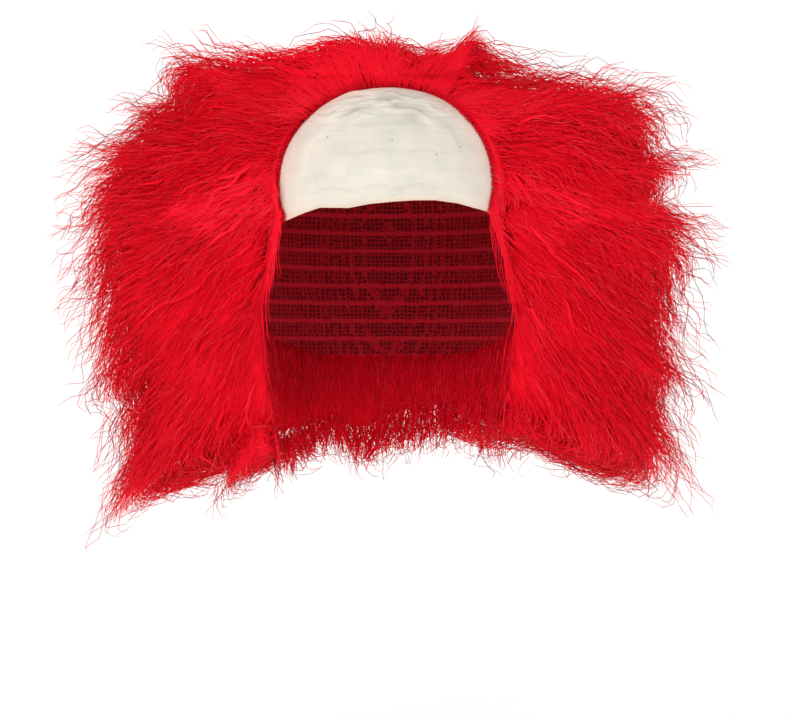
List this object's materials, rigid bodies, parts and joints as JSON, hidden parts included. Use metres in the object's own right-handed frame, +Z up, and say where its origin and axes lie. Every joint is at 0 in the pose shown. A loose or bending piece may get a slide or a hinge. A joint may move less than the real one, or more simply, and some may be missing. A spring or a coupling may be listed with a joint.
{
  "type": "clown wig",
  "caption": "Bald-pate clown wig: a cream latex pate in front, joined to a cap with teased red hair round the sides, crown and back.",
  "frame": {"origin": "middle of the head's widest ring, level with the front rim of the pate, where a head carries the wig", "axes": "+Z up, the wearer looks along -Y, +X at the right of someone who faces the wearer"},
  "size_m": [0.4057, 0.2857, 0.3086],
  "materials": {
    "latex": "matte, thin, lightly wrinkled cream latex",
    "cap_cloth": "red net cloth",
    "hair": "teased red synthetic fibre with a soft sheen"
  },
  "bodies": {
    "root": {"latex_pate": "latex", "sewn_cap": "cap_cloth", "hair_crown": "hair", "hair_left": "hair", "hair_right": "hair", "hair_back": "hair"}
  },
  "joints": []
}
